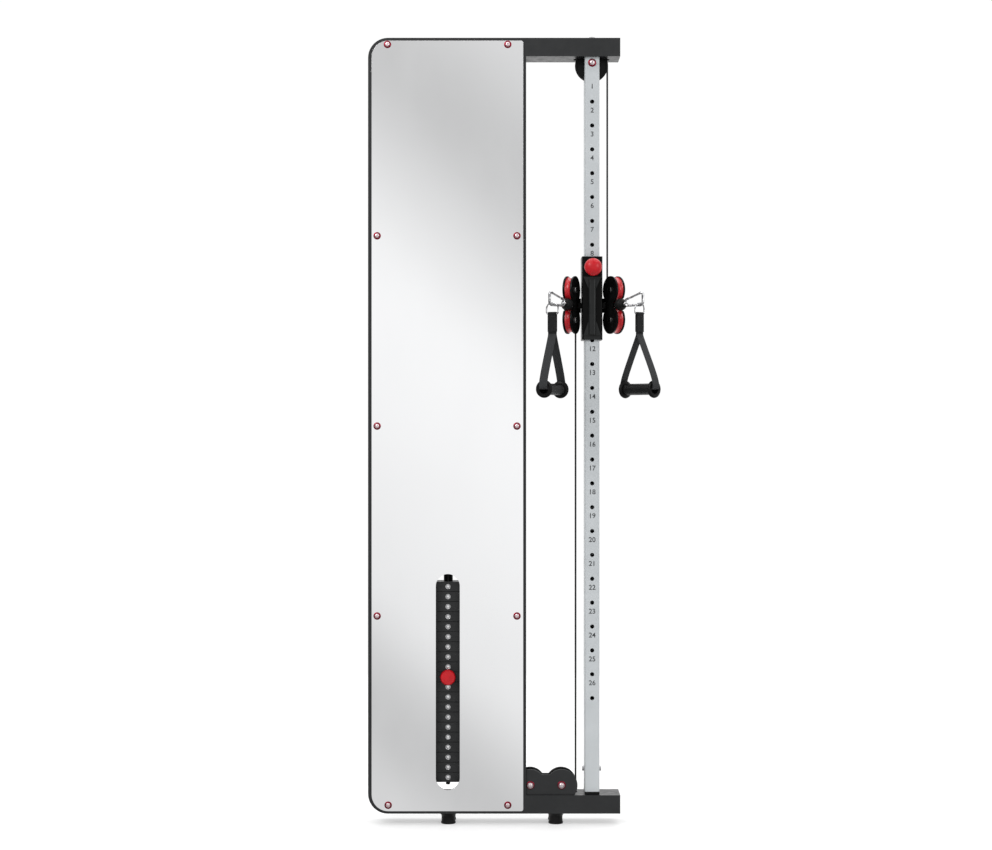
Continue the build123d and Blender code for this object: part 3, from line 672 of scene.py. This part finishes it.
def build_selector():
    """The selector pin and its round red knob with a dished face."""
    low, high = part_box("selector_knob")
    centre = (low + high) / 2
    front = Vector((centre.x, low.y, centre.z))
    radius = (high.x - low.x) / 2
    depth = high.y - low.y
    profile = [
        (0, 0.0004, 0), (radius * 0.55, 0.0002, 0), (radius * 0.62, 0.0008, 0),
        (radius * 0.86, 0.0002, 0), (radius * 0.96, 0.0022, 0), (radius, 0.005, 0),
        (radius, depth * 0.72, 0), (radius * 0.93, depth * 0.84, 0), (radius * 0.6, depth * 0.9, 0),
        (radius * 0.5, depth, 0), (0, depth, 0),
    ]
    obj = lathe("selector_knob_moulding", front, (0, 1, 0), profile, 96)
    finish_piece(obj, "selector_pin", "red", ["selector_knob"])
    paint("chrome", "selector_pin")


# ---------------------------------------------------------------- column


def build_column():
    bevelled("column_tube", 0.0006, "column")
    low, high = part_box("column_tube")
    centre_x = (low.x + high.x) / 2
    for number in range(1, HOLE_COUNT + 1):
        z = FIRST_HOLE_Z - (number - 1) * HOLE_PITCH + NUMBER_RISE
        hole_number(number, (centre_x, low.y - 0.0001, z))


def hole_number(number, place):
    """A printed number on the column's front, as a thin raised mesh."""
    name = f"hole_number_{number:02d}"
    text = bpy.data.curves.new(name, "FONT")
    text.body = str(number)
    text.size = NUMBER_SIZE
    text.align_x = "CENTER"
    text.align_y = "CENTER"
    text.extrude = 0.00012
    text.offset = 0.00025
    label = bpy.data.objects.new(name, text)
    bpy.context.scene.collection.objects.link(label)
    label.matrix_world = Matrix.Translation(place) @ Matrix.Rotation(radians(90), 4, "X")
    bpy.context.view_layer.update()
    evaluated = label.evaluated_get(bpy.context.evaluated_depsgraph_get())
    mesh = bpy.data.meshes.new_from_object(evaluated)
    mesh.transform(label.matrix_world)
    bpy.data.objects.remove(label)
    obj = bpy.data.objects.new(name, mesh)
    bpy.context.scene.collection.objects.link(obj)
    finish_piece(obj, "frame", "ink", smooth=0)


# ---------------------------------------------------------------- pulleys and cable


def build_pulleys():
    """Fixed and floating pulleys: black wheels with a smooth groove and lightening ring."""
    names = [
        "top_pulley", "tower_pulley_left", "tower_pulley_middle", "tower_pulley_right",
        "base_pulley_inner", "base_pulley_outer", "lift_pulley",
    ]
    for name in names:
        joint = JOINTS[name + "_spin"]
        low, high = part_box(name)
        radius = (high.z - low.z) / 2
        half = (high.y - low.y) / 2
        profile = wheel_profile(radius, radius - PULLEY_GROOVE_DEPTH, half, 0)
        obj = lathe(name + "_wheel", joint["pos_m"], joint["axis"], profile, 96)
        finish_piece(obj, name, "plastic", [name])


def wheel_profile(radius, groove, half, groove_mat):
    """Turned section of a pulley, with rounded rims, a curved groove and dished sides."""
    bore = BORE_RADIUS
    rim = 0.0021
    return [
        (bore, -half, 0), (0.013, -half, 0), (0.0135, -half + 0.0012, 0),
        (radius - 0.006, -half + 0.0012, 0), (radius - 0.0052, -half, 0),
        (radius - 0.0009, -half, 0), (radius, -half + 0.0008, 0), (radius, -half + rim - 0.0005, 0),
        (radius - 0.0006, -half + rim, groove_mat), (groove + 0.0008, -half + rim + 0.0016, groove_mat),
        (groove, -half + rim + 0.0032, groove_mat), (groove, half - rim - 0.0032, groove_mat),
        (groove + 0.0008, half - rim - 0.0016, groove_mat), (radius - 0.0006, half - rim, groove_mat),
        (radius, half - rim + 0.0005, 0), (radius, half - 0.0008, 0), (radius - 0.0009, half, 0),
        (radius - 0.0052, half, 0), (radius - 0.006, half - 0.0012, 0), (0.0135, half - 0.0012, 0),
        (0.013, half, 0), (bore, half, 0),
    ]


def span(name, start, end, nodes=(), radius=CABLE_RADIUS, step=0.012):
    """A taut straight cable run between two points; it belongs to no body."""
    obj = tube(name, line_points(start, end, step), radius, 16)
    finish_piece(obj, None, "cable", nodes, smooth=60)
    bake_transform(obj)
    return obj


def build_cables():
    paint("cable", "cable_over_top", "cable_through_post", "cable_lift_loop",
          "cable_lead_left", "cable_lead_right")
    for side in ("right", "left"):
        low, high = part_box(f"cable_column_{side}")
        x, y = (low.x + high.x) / 2, (low.y + high.y) / 2
        bottom, top = Vector((x, y, low.z)), Vector((x, y, high.z))
        # The right run comes down from the top pulley, the left one up from the base
        start, end = (top, bottom) if side == "right" else (bottom, top)
        span(f"column_run_{side}", start, end, [f"cable_column_{side}"])
    low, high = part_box("cable_stack_runs")
    y = (low.y + high.y) / 2
    runs = (("stack_run_left", low.x + CABLE_RADIUS), ("stack_run_right", high.x - CABLE_RADIUS))
    for name, x in runs:
        span(name, Vector((x, y, high.z)), Vector((x, y, low.z)),
             ["cable_stack_runs"])


# ---------------------------------------------------------------- carriage and swivels


def build_carriage():
    sleeve_low, sleeve_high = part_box("carriage_sleeve")
    middle = (sleeve_low.x + sleeve_high.x) / 2
    rib_half, rib_depth, rib_below_top = 0.0125, 0.02, 0.06

    # Faces on the front of the raised centre bar get the lighter copy of the powder: a painted
    # highlight where that bar catches the light
    def ribbed(centre, normal):
        on_rib = abs(centre.x - middle) < rib_half and centre.y < sleeve_low.y + rib_depth
        return 1 if on_rib and centre.z < sleeve_high.z - rib_below_top else 0

    bevelled("carriage_sleeve", 0.0016, ["sleeve", "sleeve_painted_highlight"], 3, ribbed)
    paint("zinc", "swivel_bolts")
    low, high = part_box("plunger_knob")
    centre = Vector(((low.x + high.x) / 2, high.y, (low.z + high.z) / 2))
    radius = (high.x - low.x) / 2
    length = high.y - low.y
    head = length - 0.024
    profile = [
        (0, 0, 1), (0.005, 0, 1), (0.005, 0.022, 1), (0.0085, 0.0225, 1), (0.0088, 0.046, 1),
        (0.0125, 0.0475, 0), (0.0128, head - 0.004, 0), (radius * 0.80, head, 0),
        (radius * 0.95, head + 0.0015, 0), (radius, head + 0.005, 0), (radius * 0.985, head + 0.009, 0),
        (radius * 0.90, head + 0.0145, 0), (radius * 0.72, head + 0.0190, 0),
        (radius * 0.45, head + 0.0225, 0), (0.003, length - 0.0003, 0), (0, length - 0.0003, 0),
    ]
    obj = lathe("locking_knob", centre, (0, -1, 0), profile, 96)
    finish_piece(obj, "plunger", ["red", "zinc"], ["plunger_knob"], 50)


def swivel_frame(side):
    """The swivel's axis point, its heading and the sideways direction along its axles."""
    turn = JOINTS[f"swivel_{side}_turn"]
    heading = Vector(JOINTS[f"cable_pull_{side}"]["axis"]).normalized()
    return Vector(turn["pos_m"]), heading, Vector(JOINTS[f"wheel_upper_{side}_spin"]["axis"])


def build_swivel(side):
    pivot, heading, axle = swivel_frame(side)
    bevelled(f"swivel_{side}", 0.0011, "plastic", 3)
    for level in ("upper", "lower"):
        joint = JOINTS[f"wheel_{level}_{side}_spin"]
        profile = wheel_profile(WHEEL_RADIUS, WHEEL_GROOVE, WHEEL_HALF, 1)
        obj = lathe(f"wheel_{level}_{side}_rim", joint["pos_m"], joint["axis"], profile, 96)
        finish_piece(obj, f"wheel_{level}_{side}", ["plastic", "groove"], [f"wheel_{level}_{side}"])
        for way in (-1, 1):
            place = Vector(joint["pos_m"]) + axle * way * AXLE_REACH
            letter = "a" if way < 0 else "b"
            bolt_head(f"wheel_bolt_{level}_{side}_{letter}", place, axle * way, f"swivel_{side}")
    ball_stop(side, pivot, heading)
    rise = LEAD_RISE if side == "right" else -LEAD_RISE
    start = pivot + heading * LEAD_REACH + UP * rise
    end = pivot + heading * PULL_START + UP * rise * 0.4
    span(f"pull_run_{side}", start, end, radius=0.00255,
         step=0.0004)


def bolt_head(name, place, outward, body):
    """A low domed cap that hides the end of a wheel's axle."""
    profile = [
        (0, 0.0003, 0), (0.0050, 0.0002, 0), (0.0074, 0.0000, 0), (0.0083, -0.0006, 0),
        (0.0085, -0.0016, 0), (0.0085, -0.0029, 0), (0, -0.0029, 0),
    ]
    finish_piece(lathe(name, place, outward, profile, 40), body, "chrome")


def ball_stop(side, pivot, heading):
    """The ribbed rubber stop, its tapered tail, and the swaged eye of the cable."""
    r = BALL_RADIUS
    centre = pivot + heading * BALL_REACH
    profile = []
    for step in range(1, 13):
        turn = pi - step * pi * 0.70 / 12
        radius = r * sin(turn) * (1.0 if step % 2 else 0.965)
        profile.append((radius, r * cos(turn), 0))
    tail = [(0.0118, 0.0135), (0.0112, 0.0145), (0.0100, 0.0165), (0.0078, 0.0182), (0.0068, 0.0186)]
    profile += [(radius, along, 0) for radius, along in tail]
    profile = [(0, -r, 0)] + profile + [(0, 0.0186, 0)]
    obj = lathe(f"ball_stop_{side}", centre, heading, profile, 64)
    finish_piece(obj, f"cable_end_{side}", "rubber", [f"cable_end_{side}"], 25)
    eye = pivot + heading * EYE_REACH + UP * 0.002
    sleeve = [
        (0, -0.0145, 0), (0.0036, -0.0145, 0), (0.0042, -0.0138, 0), (0.0042, -0.0072, 0),
        (0.0036, -0.0062, 0), (0, -0.0062, 0),
    ]
    obj = lathe(f"cable_ferrule_{side}", eye - UP * 0.001, heading, sleeve, 32)
    finish_piece(obj, f"cable_end_{side}", "chrome")
    ring(f"cable_eye_{side}", eye, UP, 0.0062, 0.0019, f"cable_end_{side}", "chrome")


def ring(name, centre, axis, major, minor, body, mat):
    """A round ring of wire."""
    first, second = across(axis)
    axis = Vector(axis).normalized()
    vertices, faces = [], []
    around, sides = 48, 14
    for i in range(around):
        turn = 2 * pi * i / around
        out = first * cos(turn) + second * sin(turn)
        for j in range(sides):
            roll = 2 * pi * j / sides
            vertices.append(centre + out * (major + minor * cos(roll)) + axis * minor * sin(roll))
    for i in range(around):
        for j in range(sides):
            a, b = i * sides, ((i + 1) % around) * sides
            k = (j + 1) % sides
            faces.append([a + j, a + k, b + k, b + j])
    obj = tidy_mesh(mesh_object(name, vertices, faces))
    return finish_piece(obj, body, mat)


# ---------------------------------------------------------------- handles


def strip(name, path, width_dir, width, thick, body, replaced=(), mat="webbing"):
    """Webbing along a path of (point, normal): a thin strip with rounded selvedges."""
    width_dir = Vector(width_dir).normalized()
    half_w, half_t = width / 2, thick / 2
    section = [
        (-half_w, 0.0), (-half_w + half_t * 0.4, half_t * 0.8), (-half_w + half_t * 1.2, half_t),
        (-half_w * 0.5, half_t), (0, half_t), (half_w * 0.5, half_t),
        (half_w - half_t * 1.2, half_t), (half_w - half_t * 0.4, half_t * 0.8), (half_w, 0.0),
        (half_w - half_t * 0.4, -half_t * 0.8), (half_w - half_t * 1.2, -half_t),
        (half_w * 0.5, -half_t), (0, -half_t), (-half_w * 0.5, -half_t),
        (-half_w + half_t * 1.2, -half_t), (-half_w + half_t * 0.4, -half_t * 0.8),
    ]
    count = len(section)
    vertices, faces, lengths = [], [], [0.0]
    for index, (point, normal) in enumerate(path):
        for w, t in section:
            vertices.append(Vector(point) + width_dir * w + Vector(normal).normalized() * t)
        if index:
            lengths.append(lengths[-1] + (Vector(point) - Vector(path[index - 1][0])).length)
    for row in range(len(path) - 1):
        for i in range(count):
            j = (i + 1) % count
            a, b = row * count, (row + 1) * count
            faces.append([a + i, b + i, b + j, a + j])
    faces.append(list(range(count)))
    faces.append([len(vertices) - count + i for i in range(count)][::-1])
    obj = mesh_object(name, vertices, faces)
    layer = obj.data.uv_layers.new(name="strip")
    for polygon in obj.data.polygons:
        for loop in polygon.loop_indices:
            vertex = obj.data.loops[loop].vertex_index
            w = section[vertex % count][0]
            layer.data[loop].uv = (w, lengths[vertex // count])
    bm = bmesh.new()
    bm.from_mesh(obj.data)
    bmesh.ops.recalc_face_normals(bm, faces=bm.faces)
    bm.to_mesh(obj.data)
    bm.free()
    return finish_piece(obj, body, mat, replaced, 50)


def smooth_path(points):
    """Chaikin-like rounding of a polyline in (along, height), a few passes."""
    for _ in range(3):
        out = [points[0]]
        for a, b in zip(points, points[1:]):
            out.append(tuple(a[k] * 0.75 + b[k] * 0.25 for k in (0, 1)))
            out.append(tuple(a[k] * 0.25 + b[k] * 0.75 for k in (0, 1)))
        out.append(points[-1])
        points = out
    return points


def build_handle(side):
    swing = JOINTS[f"handle_{side}_swing"]
    pivot = Vector(swing["pos_m"])
    along = Vector(swing["axis"]).normalized()
    sideways = along.cross(UP).normalized()
    body = f"handle_{side}"
    paint("wire", f"d_ring_{side}", f"carabiner_{side}", f"carabiner_gate_{side}")

    grip_z = JOINTS[f"grip_{side}_spin"]["pos_m"][2] - pivot.z
    ring_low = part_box(f"d_ring_{side}")[0].z - pivot.z + 0.002
    half = STRAP_HALF_SPAN
    split = ring_low - STITCHED_LENGTH

    def at(u, v):
        return pivot + along * u + UP * v

    def ribbon(points):
        points = smooth_path(points)
        result = []
        for index, (u, v) in enumerate(points):
            before = points[max(index - 1, 0)]
            after = points[min(index + 1, len(points) - 1)]
            du, dv = after[0] - before[0], after[1] - before[1]
            normal = along * dv - UP * du
            result.append((at(u, v), normal))
        return result

    top = ring_low + 0.0036
    legs = [
        (-0.0013, split - 0.004), (-0.0022, split - 0.010), (-half + 0.011, grip_z + 0.044),
        (-half + 0.0005, grip_z + 0.014), (-half + 0.0005, grip_z + 0.004), (-half + 0.005, grip_z),
        (-0.03, grip_z), (0, grip_z), (0.03, grip_z), (half - 0.005, grip_z),
        (half - 0.0005, grip_z + 0.004), (half - 0.0005, grip_z + 0.014),
        (half - 0.011, grip_z + 0.044), (0.0022, split - 0.010), (0.0013, split - 0.004),
    ]
    front = [(-0.0013, split - 0.006), (-0.0014, split + 0.02), (-0.0016, ring_low - 0.012),
             (-0.0036, ring_low - 0.004), (-0.0036, top), (0, top + 0.0008), (0.0036, top),
             (0.0036, ring_low - 0.004), (0.0016, ring_low - 0.012), (0.0014, split + 0.02),
             (0.0013, split - 0.006)]
    strip(f"strap_legs_{side}", ribbon(legs), sideways, STRAP_WIDTH, STRAP_THICK, body,
          [f"strap_{side}"])
    # The doubled top of the strap and its wraps take the darker copy of the webbing, painted shade
    strip(f"strap_top_{side}", ribbon(front), sideways, STRAP_WIDTH, STRAP_THICK, body, mat="dense")
    for index, u in enumerate((-0.0036, 0.0036)):
        heights = [split + 0.002 + 0.044 * k / 12 for k in range(13)]
        rows = [(at(u, v), along) for v in heights]
        strip(f"strap_wrap_{side}_{index + 1}", rows, sideways, STRAP_WIDTH + 0.0006, 0.0018, body,
              mat="dense")
    stitch_box(side, at, along, sideways, split, body)
    build_grip(side, along)


def stitch_box(side, at, along, sideways, split, body):
    """Rows of thread that close the doubled webbing, on both faces."""
    vertices, faces = [], []

    def stitch(start, end, out):
        first = (end - start).normalized()
        second = out.cross(first).normalized()
        base = len(vertices)
        for point, lift in ((start, 0.0), (start.lerp(end, 0.3), 0.0005),
                            (start.lerp(end, 0.7), 0.0005), (end, 0.0)):
            for way in (-1, 1):
                vertices.append(point + second * way * 0.0004 + out * lift)
            vertices.append(point - out * 0.0003)
        for k in range(3):
            a, b = base + k * 3, base + (k + 1) * 3
            for i in range(3):
                j = (i + 1) % 3
                faces.append([a + i, b + i, b + j, a + j])
        faces.append([base, base + 1, base + 2])
        faces.append([base + 11, base + 10, base + 9])

    for way in (-1, 1):
        out = along * way
        for row_v in (split + 0.006, split + 0.042):
            for k in range(7):
                left = -0.0098 + k * 0.0028
                start = at(way * 0.0046, row_v) + sideways * left
                stitch(start, start + sideways * 0.0021, out)
        for column in (-0.0100, 0.0100):
            for k in range(12):
                low = split + 0.0075 + k * 0.0028
                start = at(way * 0.0046, low) + sideways * column
                stitch(start, start + UP * 0.0021, out)
    obj = tidy_mesh(mesh_object(f"strap_stitches_{side}", vertices, faces), 1e-7)
    finish_piece(obj, body, "thread")


def build_grip(side, along):
    """A ribbed rubber tube between two rounded end caps, hollow for the webbing."""
    joint = JOINTS[f"grip_{side}_spin"]
    centre = Vector(joint["pos_m"])
    bore, outer = GRIP_BORE, GRIP_RADIUS
    profile = [(bore, -GRIP_HALF, 0), (outer - 0.0006, -GRIP_HALF, 0)]
    ribbed_length = 0.094
    step = ribbed_length / GRIP_RIBS
    for k in range(GRIP_RIBS):
        start = -ribbed_length / 2 + k * step
        profile += [(outer - 0.0003, start, 0), (outer, start + step * 0.2, 0),
                    (outer, start + step * 0.8, 0), (outer - 0.0003, start + step * 0.98, 0)]
    profile += [(outer - 0.0006, GRIP_HALF, 0), (bore, GRIP_HALF, 0)]
    obj = lathe(f"grip_tube_{side}", centre, along, profile, 72)
    finish_piece(obj, f"grip_{side}", "grip", [f"grip_{side}"], 40)
    for way, tag in ((-1, "rear"), (1, "front")):
        cap = [
            (bore, -0.004, 0), (0.0170, -0.0042, 0), (0.0205, -0.0034, 0), (0.0232, -0.0018, 0),
            (0.0240, 0.0004, 0), (0.0236, 0.0024, 0), (0.0220, 0.0036, 0), (0.0180, 0.0040, 0),
            (0.0172, 0.0034, 0), (0.0150, 0.0034, 0), (0.0143, 0.0040, 0), (bore, 0.0040, 0),
        ]
        place = centre + along * way * CAP_OFFSET
        obj = lathe(f"grip_cap_{side}_{tag}", place, along * way, cap, 72)
        finish_piece(obj, f"grip_{side}", "plastic")


# ---------------------------------------------------------------- studio


def build_world():
    """A white backdrop, and behind the camera a wall with a soft diagonal band across it."""
    world = bpy.data.worlds.new("studio")
    bpy.context.scene.world = world
    world.use_nodes = True
    tree = world.node_tree
    background = tree.nodes["Background"]
    direction = tree.nodes.new("ShaderNodeTexCoord").outputs["Generated"]
    split = tree.nodes.new("ShaderNodeSeparateXYZ")
    tree.links.new(direction, split.inputs["Vector"])

    def math(operation, a, b=None, c=None, clamp=False):
        node = tree.nodes.new("ShaderNodeMath")
        node.operation = operation
        node.use_clamp = clamp
        for socket, value in zip(node.inputs, (a, b, c)):
            if value is None:
                continue
            if isinstance(value, (int, float)):
                socket.default_value = value
            else:
                tree.links.new(value, socket)
        return node.outputs[0]

    # The wall behind the camera falls off to grey on every side of its middle
    slant = math("ADD", math("MULTIPLY", split.outputs["X"], BAND_ACROSS),
                 math("MULTIPLY_ADD", split.outputs["Z"], BAND_UPWARD, BAND_OFFSET))
    ramp = tree.nodes.new("ShaderNodeValToRGB")
    ramp.color_ramp.interpolation = "CARDINAL"
    while len(ramp.color_ramp.elements) > 1:
        ramp.color_ramp.elements.remove(ramp.color_ramp.elements[-1])
    ramp.color_ramp.elements[0].position = WALL_BAND[0][0]
    for place, _ in WALL_BAND[1:]:
        ramp.color_ramp.elements.new(place)
    for element, (_, grey) in zip(ramp.color_ramp.elements, WALL_BAND):
        element.color = (grey, grey, grey, 1)
    tree.links.new(slant, ramp.inputs["Fac"])
    away = math("SQRT", math("ADD", math("POWER", split.outputs["X"], 2.0),
                             math("POWER", split.outputs["Z"], 2.0)))
    middle = math("DIVIDE", math("SUBTRACT", WALL_REACH, away), WALL_FADE, clamp=True)
    wall = math("MULTIPLY", math("SUBTRACT", ramp.outputs["Color"], WALL_EDGE), middle)
    wall = math("ADD", wall, WALL_EDGE)
    front = math("GREATER_THAN", split.outputs["Y"], 0.0)
    strength = math("MAXIMUM", math("MULTIPLY", front, BACKDROP), wall)
    tree.links.new(strength, background.inputs["Strength"])
    background.inputs["Color"].default_value = (1, 1, 1, 1)


def build_floor():
    """A pale floor that glows a little, so that its far edge doesn't show to the camera."""
    corners = [(-5, -1.6, 0), (5, -1.6, 0), (5, 3.5, 0), (-5, 3.5, 0)]
    floor = mesh_object("floor", corners, [[0, 1, 2, 3]])
    mat, shader, node_tree = new_material("floor_paint", (0.5, 0.5, 0.5), 0.7)
    shader.inputs["Emission Color"].default_value = (1, 1, 1, 1)
    shader.inputs["Emission Strength"].default_value = 0.45
    vary_roughness(node_tree, shader, noise(node_tree, 2, 2), 0.55, 0.65)
    floor.data.materials.append(mat)
    floor.visible_glossy = False


def area_light(name, place, aim, power, width, height):
    light = bpy.data.lights.new(name, "AREA")
    light.energy = power
    light.shape = "RECTANGLE"
    light.size, light.size_y = width, height
    obj = bpy.data.objects.new(name, light)
    bpy.context.scene.collection.objects.link(obj)
    obj.location = place
    obj.rotation_euler = (Vector(aim) - Vector(place)).to_track_quat("-Z", "Y").to_euler()


def build_camera():
    scene = bpy.context.scene
    camera = bpy.data.cameras.new("camera")
    camera.lens = CAMERA_LENS
    camera.sensor_width = SENSOR
    holder = bpy.data.objects.new("camera", camera)
    scene.collection.objects.link(holder)
    front_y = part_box("top_beam")[0].y
    holder.location = (CAMERA_X, front_y - CAMERA_BACK, CAMERA_HEIGHT)
    holder.rotation_euler = (radians(90), 0, 0)
    scene.camera = holder


def build_studio():
    bpy.context.scene.view_settings.view_transform = "Standard"
    build_world()
    build_floor()
    area_light("key_light", (-2.6, -3.2, 3.8), (0, 0, 1.1), 120, 2.4, 2.4)
    area_light("fill_light", (3.2, -3.0, 2.6), (0.1, 0, 1.1), 60, 2.0, 2.6)
    area_light("top_light", (0, 0.9, 5.0), (0, 0.9, 0), 190, 7.0, 5.0)
    build_camera()


build_frame()
build_mirror()
red_washered_bolts()
build_stack()
build_column()
build_pulleys()
build_cables()
build_carriage()
for each in SIDES:
    build_swivel(each)
    build_handle(each)
build_studio()
